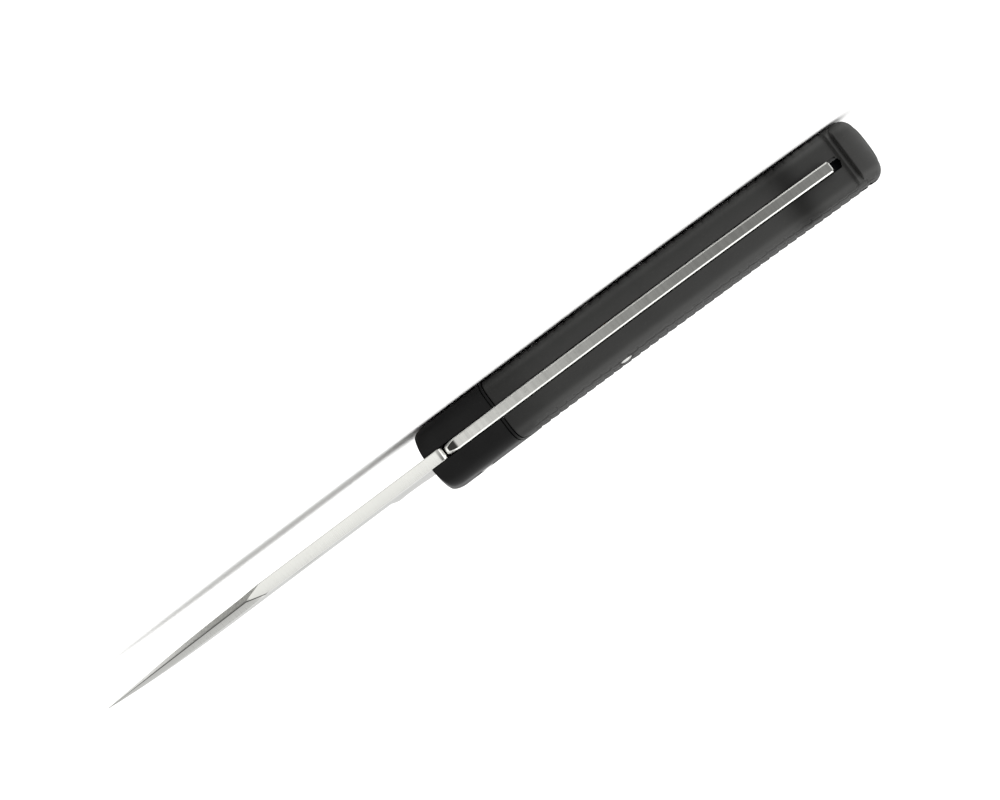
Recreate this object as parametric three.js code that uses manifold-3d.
// A lock-back folding hunting knife, open and lying on its side, in millimetres.
// Pieces are drawn about the blade's pivot: +X towards the tip, +Y from the spine towards the belly,
// +Z towards the left side of the handle. The finished group stands on z = 0.
import * as THREE from 'three';
import { mergeVertices } from 'three/addons/utils/BufferGeometryUtils.js';
import Module from 'manifold-3d';

const wasm = await Module();
wasm.setup();

// ---- driving dimensions ----
const handleThickness = 16.3;
const handleFront = 10.5; // front end of the handle, ahead of the pivot
const handleButt = -114.6;
const handleDepthFront = 26.6; // spine to belly at the guard
const handleDepthRear = 38.2; // spine line to the lowest point of the butt
const edgeRound = 3.2; // rounding between the spine or belly and the sides
const cornerRound = 3.7; // rounding at the front and butt, seen on the spine
const endBulge = 0.5;
const archStart = -36.7; // the spine is straight ahead of here and an arc behind
const archRadius = 208;
const rubberWall = 1.7;
const gripFront = -9.5; // where the rubber grip meets the bare nylon
const stockThickness = 3.0; // blade steel
const barRelief = 0.2; // the lock bar is this much thinner than the blade
const barThickness = stockThickness - barRelief;
const sidePlay = 0.15; // blade and bar to the walls of the slot
const pinPlay = 0.1;
const seatGap = 0.3; // between pieces seated in one another
const bladeReach = 102.4; // pivot to tip
const bladeDepth = 20.5;
const tipDrop = 11.5;
const clipStart = 57.9; // where the spine starts to fall to the tip
const plungeAt = 20.5; // end of the unground tang
const grindWidth = 9;
const swedgeWidth = 3.6;
const pivotDrop = 14.2; // spine to pivot
const pivotRadius = 2.05;
const pivotRecessRadius = 3.35;
const pivotRecessDepth = 0.9;
const bushingRadius = 3.0;
const washerRadius = 4.8;
const washerThickness = 0.5;
const rockerAt = -40.3;
const rockerDrop = 6.0;
const rockerRadius = 1.55;
const rockerWasherRadius = 3.0;
const dimpleRadius = 2.3;
const dimpleDepth = 0.55;
const notchFront = 5.7; // front wall of the lock notch in the tang
const notchGap = 0.3;
const barDepth = 6.4; // depth of the bar from its nose to the rocker
const barRearDepth = 4.0;
const barTaper = 1.4; // how much deeper the bar is where its taper starts
const barEnd = -104.4;
const noseLength = 3.3;
const noseDrop = 1.5;
const barBevel = 0.4;
const slotEnd = -106.6; // rear end of the slot that the bar and blade lie in
const scoopStart = -89.5;
const scoopEnd = -107.9;
const scoopDepth = 2.6;
const springWidth = 2.4;
const springThickness = 0.8;
const springEyeRadius = 1.8; // the rolled eye round its pin
const springContact = -68; // where the spring bears on the bar
const rivetRadius = 1.0;
const rivetSunk = 0.75; // the rivets' ends lie this far inside the core's sides
const lanyardRadius = 2.4;
const nickLength = 11;
const nickAt = 46;
const nickDepth = 0.6;
const roundSegments = 32;

// ---- values that follow from them ----
const halfThickness = handleThickness / 2;
const slotHalf = stockThickness / 2 + sidePlay;
const coreHalf = halfThickness - rubberWall;
const rivetLength = 2 * (coreHalf - rivetSunk);
const camRadius = pivotDrop - barDepth - notchGap;
const noseAt = notchFront - notchGap;
const far = 400; // longer than anything cut

// ---- helpers ----
const spineAt = (x) => {
  const run = Math.max(0, archStart - x);
  return archRadius - Math.sqrt(archRadius ** 2 - run ** 2);
};

const solidOf = (geometry) => {
  geometry.deleteAttribute('normal');
  geometry.deleteAttribute('uv');
  const merged = mergeVertices(geometry, 1e-4);
  const mesh = new wasm.Mesh({
    numProp: 3,
    vertProperties: new Float32Array(merged.attributes.position.array),
    triVerts: new Uint32Array(merged.index.array),
  });
  return new wasm.Manifold(mesh);
};

const geometryOf = (solid) => {
  const mesh = solid.getMesh();
  const geometry = new THREE.BufferGeometry();
  geometry.setAttribute('position', new THREE.BufferAttribute(mesh.vertProperties, 3));
  geometry.setIndex(new THREE.BufferAttribute(mesh.triVerts, 1));
  geometry.computeVertexNormals();
  return geometry;
};

const shapeOf = (points) => new THREE.Shape(points.map(([x, y]) => new THREE.Vector2(x, y)));

// A shape's outline as corner points, with doubled points left out.
const cornersOf = (shape, curve) => {
  const points = shape.getPoints(curve);
  return points.filter((p, i) => p.distanceTo(points[(i + points.length - 1) % points.length]) > 0.02);
};

// A slab from z = low to z = high, its outline shrunk and its edges rounded or bevelled if asked.
const slab = (shape, low, high, options = {}) => {
  const { round = 0, inset = round, shrink = 0, steps = 3, curve = 3 } = options;
  const geometry = new THREE.ExtrudeGeometry(new THREE.Shape(cornersOf(shape, curve)), {
    depth: high - low - 2 * round,
    bevelEnabled: round > 0,
    bevelThickness: round,
    bevelSize: inset,
    bevelOffset: -inset - shrink,
    bevelSegments: steps,
  });
  geometry.translate(0, 0, low + round);
  return solidOf(geometry);
};

const box = (low, high) => {
  const size = high.map((value, i) => value - low[i]);
  const geometry = new THREE.BoxGeometry(...size);
  geometry.translate(...low.map((value, i) => value + size[i] / 2));
  return solidOf(geometry);
};

// A round bar along Z.
const rod = (x, y, radius, low, high, topRadius = radius) => {
  const geometry = new THREE.CylinderGeometry(topRadius, radius, high - low, roundSegments);
  geometry.rotateX(Math.PI / 2);
  geometry.translate(x, y, (low + high) / 2);
  return solidOf(geometry);
};

const pieces = new THREE.Group();
const add = (name, solid, color, roughness, metalness) => {
  const mesh = new THREE.Mesh(
    geometryOf(solid),
    new THREE.MeshStandardMaterial({ color, roughness, metalness }),
  );
  mesh.name = name;
  pieces.add(mesh);
};

// ---- handle body, before it is parted ----
const splineOn = (shape, points) => shape.splineThru(points.map(([x, y]) => new THREE.Vector2(x, y)));

const spineLine = (front) => {
  const arcEnd = handleButt + 4.6;
  const sweep = Math.asin((archStart - arcEnd) / archRadius);
  const shape = new THREE.Shape();
  shape.moveTo(front, 0);
  shape.lineTo(archStart, 0);
  shape.absarc(archStart, archRadius, archRadius, -Math.PI / 2, -Math.PI / 2 - sweep, true);
  return shape;
};

const buttAndBelly = [
  [handleButt + 1.2, spineAt(handleButt + 4.6) + 3.9],
  [handleButt, handleDepthRear - 13.4],
  [handleButt + 1.7, handleDepthRear - 5],
  [handleButt + 7.5, handleDepthRear - 0.4],
  [handleButt + 16, handleDepthRear - 0.2],
  [handleButt + 34, handleDepthRear - 3.4],
  [handleButt + 56, handleDepthRear - 7.2],
  [handleFront - 46, handleDepthFront + 0.4],
  [handleFront - 25.5, handleDepthFront - 1.6],
  [handleFront - 12.5, handleDepthFront - 0.9],
  [handleFront - 5, handleDepthFront + 0.9],
];

// The side outline as it is, with the guard and the nearly square front end.
const handleOutline = () => {
  const shape = spineLine(handleFront - 1);
  splineOn(shape, [
    ...buttAndBelly,
    [handleFront - 1.2, handleDepthFront - 0.4],
    [handleFront - 0.3, handleDepthFront - 5],
    [handleFront, pivotDrop - 2],
    [handleFront - 0.1, 1.4],
    [handleFront - 1, 0],
  ]);
  return shape;
};

// The same outline carried on past the front, so that its long edges can be rounded up to the end.
const longOutline = () => {
  const past = handleFront + 20;
  const corner = 5;
  const deep = handleDepthFront + 2.4;
  const shape = spineLine(past - corner);
  splineOn(shape, [...buttAndBelly, [handleFront + 4, deep - 0.3], [past - corner, deep]]);
  shape.absarc(past - corner, deep - corner, corner, Math.PI / 2, 0, true);
  shape.lineTo(past, corner);
  shape.absarc(past - corner, corner, corner, 0, -Math.PI / 2, true);
  return shape;
};

// The outline seen on the spine: straight sides, rounded corners and slightly bulged ends.
const planOutline = (front, butt, half, round) => {
  const shape = new THREE.Shape();
  const straight = half - round;
  shape.moveTo(front - endBulge - round, -half);
  shape.quadraticCurveTo(front - endBulge, -half, front - endBulge, -straight);
  shape.quadraticCurveTo(front + endBulge, 0, front - endBulge, straight);
  shape.quadraticCurveTo(front - endBulge, half, front - endBulge - round, half);
  shape.lineTo(butt + endBulge + round, half);
  shape.quadraticCurveTo(butt + endBulge, half, butt + endBulge, straight);
  shape.quadraticCurveTo(butt - endBulge, 0, butt + endBulge, -straight);
  shape.quadraticCurveTo(butt + endBulge, -half, butt + endBulge + round, -half);
  return shape;
};

// A slab seen on the spine: its outline's second axis becomes Z.
const planSlab = (shape) => {
  const corners = new THREE.Shape(cornersOf(shape, 4));
  const geometry = new THREE.ExtrudeGeometry(corners, { depth: far, bevelEnabled: false });
  geometry.rotateX(Math.PI / 2);
  geometry.translate(0, far / 2, 0);
  return solidOf(geometry);
};

const bodySolid = slab(longOutline(), -halfThickness, halfThickness, { round: edgeRound })
  .intersect(slab(handleOutline(), -halfThickness, halfThickness))
  .intersect(planSlab(planOutline(handleFront, handleButt, halfThickness, cornerRound)));

// The core that the rubber is moulded over, grown by a gap for the rubber's own cavity.
const coreSolid = (gap) => {
  const half = coreHalf + gap;
  const plan = planOutline(handleFront, handleButt + rubberWall - gap, half, cornerRound - rubberWall);
  return slab(longOutline(), -half, half, {
    round: edgeRound - rubberWall,
    shrink: rubberWall - gap,
    steps: 2,
  }).intersect(planSlab(plan));
};

// The hollow for the thumb, behind the lock bar: a round cut across the spine.
const scoopCut = (grow) => {
  const middle = new THREE.Vector2((scoopStart + scoopEnd) / 2, spineAt((scoopStart + scoopEnd) / 2));
  const outwards = middle.clone().sub(new THREE.Vector2(archStart, archRadius)).normalize();
  const halfChord = (scoopStart - scoopEnd) / 2 / Math.abs(outwards.y);
  const radius = (halfChord ** 2 + scoopDepth ** 2) / (2 * scoopDepth);
  const centre = middle.addScaledVector(outwards, radius - scoopDepth);
  return rod(centre.x, centre.y, radius + grow, -far, far);
};

const lanyardX = handleButt + 5.2;
const lanyardY = 26.2;
const rivetX = (slotEnd + handleButt + rubberWall) / 2;
const springPinY = spineAt(slotEnd) + 7.0;
const buttRivetY = handleDepthRear - 5.2;
const lanyardHole = rod(lanyardX, lanyardY, lanyardRadius, -far, far);
const rivetHoles = [springPinY, buttRivetY].map((y) => rod(rivetX, y, rivetRadius + pinPlay, -far, far));
const slotBox = box([slotEnd, -far, -slotHalf], [far, far, slotHalf]);

// ---- nylon frame halves ----
const frameHalf = (side) => {
  const near = slotHalf;
  const low = side > 0 ? near : -far;
  const high = side > 0 ? far : -near;
  const bolster = bodySolid.intersect(box([gripFront, -far, low], [far, far, high]));
  const core = coreSolid(0)
    .subtract(scoopCut(rubberWall))
    .intersect(box([-far, -far, low], [gripFront + 1, far, high]));
  const recessFloor = halfThickness - pivotRecessDepth;
  const pocketFloor = slotHalf + washerThickness + pinPlay;
  const recess = side > 0 ? [recessFloor, far] : [-far, -recessFloor];
  const pocket = side > 0 ? [0, pocketFloor] : [-pocketFloor, 0];
  let half = bolster.add(core)
    .subtract(rod(0, pivotDrop, pivotRadius + pinPlay, -far, far))
    .subtract(rod(0, pivotDrop, pivotRecessRadius, ...recess))
    .subtract(rod(0, pivotDrop, washerRadius + pinPlay, ...pocket))
    .subtract(rod(rockerAt, rockerDrop, rockerRadius + pinPlay, -far, far))
    .subtract(rod(rockerAt, rockerDrop, rockerWasherRadius + pinPlay, ...pocket))
    .subtract(lanyardHole);
  for (const hole of rivetHoles) {
    half = half.subtract(hole);
  }
  return half;
};
add('left_frame', frameHalf(1), '#242424', 0.45, 0);
add('right_frame', frameHalf(-1), '#242424', 0.45, 0);

// ---- rubber grip ----
const dimple = (side) => {
  const top = side * halfThickness;
  const floor = side * (halfThickness - dimpleDepth);
  const radii = side > 0 ? [rockerRadius + pinPlay, dimpleRadius] : [dimpleRadius, rockerRadius + pinPlay];
  return rod(rockerAt, rockerDrop, radii[0], Math.min(top, floor), Math.max(top, floor), radii[1]);
};
const gripSleeve = bodySolid
  .intersect(box([-far, -far, -far], [gripFront - seatGap, far, far]))
  .subtract(scoopCut(0))
  .subtract(coreSolid(seatGap).subtract(scoopCut(rubberWall - seatGap)))
  .subtract(slotBox)
  .subtract(rod(rockerAt, rockerDrop, rockerRadius + pinPlay, -far, far))
  .subtract(dimple(1))
  .subtract(dimple(-1))
  .subtract(lanyardHole);
add('grip_sleeve', gripSleeve, '#3a3b39', 0.7, 0);

// ---- spacer between the halves at the butt ----
const spacerHalf = slotHalf - seatGap;
const springSlotHalf = springThickness / 2 + seatGap;
const buttSpacer = coreSolid(0)
  .subtract(scoopCut(rubberWall))
  .intersect(box([-far, -far, -spacerHalf], [slotEnd - seatGap, far, spacerHalf]))
  .subtract(lanyardHole)
  .subtract(rivetHoles[0])
  .subtract(rivetHoles[1])
  .subtract(rod(rivetX, springPinY, springEyeRadius + seatGap, -far, far))
  .subtract(box([rivetX, springPinY - springSlotHalf, -far], [far, springPinY + springSlotHalf, far]));
add('butt_spacer', buttSpacer, '#202020', 0.5, 0);

// ---- blade ----
const bladeOutline = () => {
  const shape = new THREE.Shape();
  const back = Math.sqrt(camRadius ** 2 - notchFront ** 2);
  const camStart = Math.atan2(-back, notchFront);
  shape.moveTo(notchFront, pivotDrop - back);
  shape.lineTo(notchFront, 1.2);
  shape.quadraticCurveTo(notchFront + 0.2, 0, notchFront + 1.7, 0);
  shape.lineTo(clipStart, 0);
  shape.quadraticCurveTo(clipStart + 22, tipDrop * 0.34, bladeReach, tipDrop);
  const edge = [bladeReach - 9, bladeDepth - 1.4, bladeReach - 24, bladeDepth, clipStart - 6, bladeDepth];
  shape.bezierCurveTo(...edge);
  shape.lineTo(plungeAt, bladeDepth - 0.3);
  shape.quadraticCurveTo(plungeAt - 2.5, bladeDepth - 1.6, plungeAt - 5, bladeDepth - 0.6);
  shape.lineTo(plungeAt - 8.5, bladeDepth + 1.6);
  shape.quadraticCurveTo(plungeAt - 10, bladeDepth + 2, plungeAt - 11.5, bladeDepth + 1);
  shape.lineTo(0, pivotDrop + camRadius - 0.8);
  shape.absarc(0, pivotDrop, camRadius - 0.8, Math.PI / 2, Math.PI + 0.3, false);
  shape.absarc(0, pivotDrop, camRadius, -Math.PI + 0.4, camStart, false);
  return shape;
};

// The ground wedge: the edge's outline, carried on past the spine and tang, bevelled down to the edge.
const grindSolid = () => {
  const shape = new THREE.Shape();
  const past = 60;
  shape.moveTo(plungeAt, -past);
  shape.lineTo(bladeReach + past / 2, -past);
  shape.lineTo(bladeReach + 7, 0);
  shape.lineTo(bladeReach + 0.2, tipDrop);
  const low = bladeDepth + 0.2;
  shape.bezierCurveTo(bladeReach - 9, low - 1.4, bladeReach - 24, low, clipStart - 6, low);
  shape.lineTo(-past, bladeDepth + 0.1);
  shape.lineTo(-past, -past);
  return slab(shape, -stockThickness / 2, stockThickness / 2, {
    round: stockThickness / 2 - 0.1,
    inset: grindWidth,
    steps: 1,
    curve: 9,
  });
};

// The bevels that thin the clip: the clip's outline, carried on past the edge, bevelled on both sides.
const swedgeSolid = () => {
  const shape = new THREE.Shape();
  const past = 60;
  shape.moveTo(-past, -past / 2);
  shape.lineTo(clipStart - 12, -past / 2);
  shape.quadraticCurveTo(clipStart - 6, -1.2, clipStart + 3, 0.1);
  shape.quadraticCurveTo(clipStart + 24, tipDrop * 0.36, bladeReach + 0.3, tipDrop);
  shape.lineTo(bladeReach + past, tipDrop + past);
  shape.lineTo(-past, tipDrop + past);
  return slab(shape, -stockThickness / 2, stockThickness / 2, {
    round: stockThickness / 2 - 0.12,
    inset: swedgeWidth,
    steps: 1,
    curve: 9,
  });
};

const nailNick = () => {
  const radius = (nickLength ** 2 / 4 + nickDepth ** 2) / (2 * nickDepth);
  const geometry = new THREE.CylinderGeometry(radius, radius, 1.3, 96);
  geometry.translate(nickAt, 3.4, stockThickness / 2 + radius - nickDepth);
  return solidOf(geometry);
};

const tangBox = box([-far, -far, -stockThickness / 2], [plungeAt, far, stockThickness / 2]);
const blade = slab(bladeOutline(), -stockThickness / 2, stockThickness / 2, { curve: 9 })
  .intersect(grindSolid().add(tangBox))
  .intersect(swedgeSolid())
  .subtract(nailNick())
  .subtract(rod(0, pivotDrop, bushingRadius + pinPlay, -far, far));
add('blade', blade, '#e4e5e1', 0.3, 1);

// ---- lock bar ----
const taperEnd = rockerAt - 12; // where the rear of the bar starts to thin
const barUnder = (x) => {
  const share = (x - barEnd) / (taperEnd - barEnd);
  return spineAt(x) + barRearDepth + barTaper * share;
};
const barOutline = () => {
  const stations = (from, to, steps) => (
    Array.from({ length: steps + 1 }, (unused, i) => from + ((to - from) * i) / steps)
  );
  const top = stations(archStart, barEnd, 14).map((x) => [x, spineAt(x)]);
  const rearUnder = stations(barEnd, taperEnd, 8).map((x) => [x, barUnder(x)]);
  const bossDepth = rockerDrop + rockerWasherRadius;
  return shapeOf([
    [noseAt, noseDrop],
    [noseAt - noseLength * 0.4, noseDrop * 0.42],
    [noseAt - noseLength, 0],
    ...top,
    ...rearUnder,
    [rockerAt - 5, bossDepth - 0.6],
    [rockerAt - 2, bossDepth],
    [rockerAt + 2, bossDepth],
    [rockerAt + 6, bossDepth - 1.2],
    [rockerAt + 12, barDepth],
    [noseAt, barDepth],
  ]);
};
const lockBar = slab(barOutline(), -barThickness / 2, barThickness / 2, { round: barBevel, steps: 2 })
  .subtract(rod(rockerAt, rockerDrop, rockerRadius + pinPlay, -far, far));
add('lock_bar', lockBar, '#a9a9a7', 0.35, 1);

// ---- leaf spring under the rear of the bar ----
const springLine = () => {
  const touch = barUnder(springContact) + springThickness / 2 + 2 * pinPlay;
  return new THREE.CatmullRomCurve3([
    new THREE.Vector3(rivetX, springPinY, 0),
    new THREE.Vector3(slotEnd + 1.5, springPinY, 0),
    new THREE.Vector3(slotEnd + 14, springPinY - 3.6, 0),
    new THREE.Vector3(springContact - 8, touch + 2.1, 0),
    new THREE.Vector3(springContact, touch, 0),
    new THREE.Vector3(springContact + 3, touch + 0.9, 0),
  ]);
};
const lockSpring = () => {
  const line = springLine().getPoints(30);
  const edge = (sign) => line.map((p, i) => {
    const along = line[Math.min(i + 1, 30)].clone().sub(line[Math.max(i - 1, 0)]).normalize();
    const off = (sign * springThickness) / 2;
    return [p.x - along.y * off, p.y + along.x * off];
  });
  return slab(shapeOf([...edge(1), ...edge(-1).reverse()]), -springWidth / 2, springWidth / 2)
    .add(rod(rivetX, springPinY, springEyeRadius, -springWidth / 2, springWidth / 2))
    .subtract(rod(rivetX, springPinY, rivetRadius + pinPlay, -far, far));
};

add('lock_spring', lockSpring(), '#8d8f92', 0.35, 1);

// ---- pins, bushing and washers ----
const pin = (x, y, radius, half) => rod(x, y, radius, -half, half);
const ring = (x, y, outer, inner, low, high) => (
  rod(x, y, outer, low, high).subtract(rod(x, y, inner, low - 1, high + 1))
);
const washerLow = stockThickness / 2 + pinPlay;
const washerHigh = washerLow + washerThickness;

add('pivot_pin', pin(0, pivotDrop, pivotRadius, halfThickness - pivotRecessDepth), '#c9cac8', 0.3, 1);
add('pivot_bushing', ring(0, pivotDrop, bushingRadius, pivotRadius + pinPlay,
  -stockThickness / 2, stockThickness / 2), '#b08d57', 0.4, 1);
add('rocker_pin', pin(rockerAt, rockerDrop, rockerRadius, halfThickness - dimpleDepth), '#c9cac8', 0.3, 1);
add('spring_pin', pin(rivetX, springPinY, rivetRadius, rivetLength / 2), '#9b9c9c', 0.4, 1);
add('butt_rivet', pin(rivetX, buttRivetY, rivetRadius, rivetLength / 2), '#9b9c9c', 0.4, 1);
for (const [name, side] of [['left', 1], ['right', -1]]) {
  const low = side > 0 ? washerLow : -washerHigh;
  const high = side > 0 ? washerHigh : -washerLow;
  add(`${name}_pivot_washer`, ring(0, pivotDrop, washerRadius, pivotRadius + pinPlay, low, high),
    '#b08d57', 0.4, 1);
  add(`${name}_rocker_washer`, ring(rockerAt, rockerDrop, rockerWasherRadius, rockerRadius + pinPlay,
    low, high), '#b08d57', 0.4, 1);
}

// ---- stand the knife on its right side, with its box centred over the origin ----
const knife = new THREE.Group();
knife.add(pieces);
const reach = new THREE.Box3().setFromObject(pieces);
const centre = reach.getCenter(new THREE.Vector3());
pieces.position.set(-centre.x, -centre.y, -reach.min.z);

export default knife;
